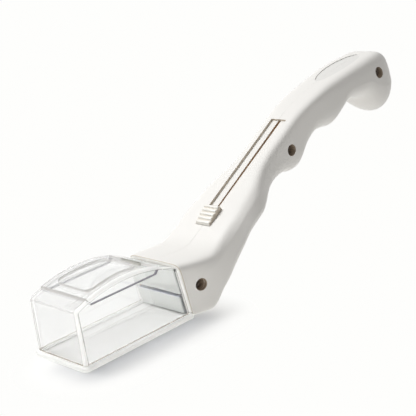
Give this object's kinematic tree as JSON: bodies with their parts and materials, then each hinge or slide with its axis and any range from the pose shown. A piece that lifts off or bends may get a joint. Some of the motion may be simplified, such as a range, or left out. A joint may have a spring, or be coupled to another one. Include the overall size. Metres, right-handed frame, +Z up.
{
  "type": "spider catcher",
  "caption": "Hand-held catcher with a clear chamber, a roof magnifier and a sliding floor drawn back by a thumb button in its long curved handle.",
  "frame": {"origin": "under the middle of the whole length, on the surface that the chamber's frame stands on", "axes": "+X from the chamber along the handle to its end, +Y to the left, +Z up"},
  "size_m": [0.306, 0.0578, 0.1118],
  "materials": {
    "shell_plastic": "satin moulded plastic, ivory white",
    "rim_plastic": "satin moulded plastic, off-white",
    "panel_plastic": "satin moulded plastic, white",
    "door_plastic": "thin flexible sheet, pale grey",
    "clear_plastic": "clear moulded plastic",
    "lens_plastic": "clear polished plastic lens",
    "screw_steel": "dark plated steel"
  },
  "bodies": {
    "housing": {"handle_shell_right": "shell_plastic", "handle_shell_left": "shell_plastic", "chamber_box": "clear_plastic", "lens_cover": "clear_plastic", "magnifier_lens": "lens_plastic", "base_frame": "rim_plastic", "bulkhead": "panel_plastic", "door_guide": "panel_plastic", "door_ramp": "panel_plastic", "case_screw_front": "screw_steel", "case_screw_middle": "screw_steel", "case_screw_rear": "screw_steel"},
    "slider": {"thumb_button": "shell_plastic", "slider_carriage": "panel_plastic", "door_tail": "door_plastic", "door_bend": "door_plastic"},
    "door": {"door_sheet": "door_plastic"}
  },
  "joints": [
    {"name": "slider_slide", "type": "slide", "parent": "housing", "child": "slider", "axis": [0.8625, 0, 0.506], "range_m": [0, 0.0769], "deforming": ["door_bend"]},
    {"name": "door_slide", "type": "slide", "parent": "housing", "child": "door", "axis": [1, 0, 0], "range_m": [0, 0.0769], "deforming": ["door_sheet"]}
  ],
  "couplings": [
    {"joint": "door_slide", "follows": "slider_slide", "ratio": 1}
  ]
}
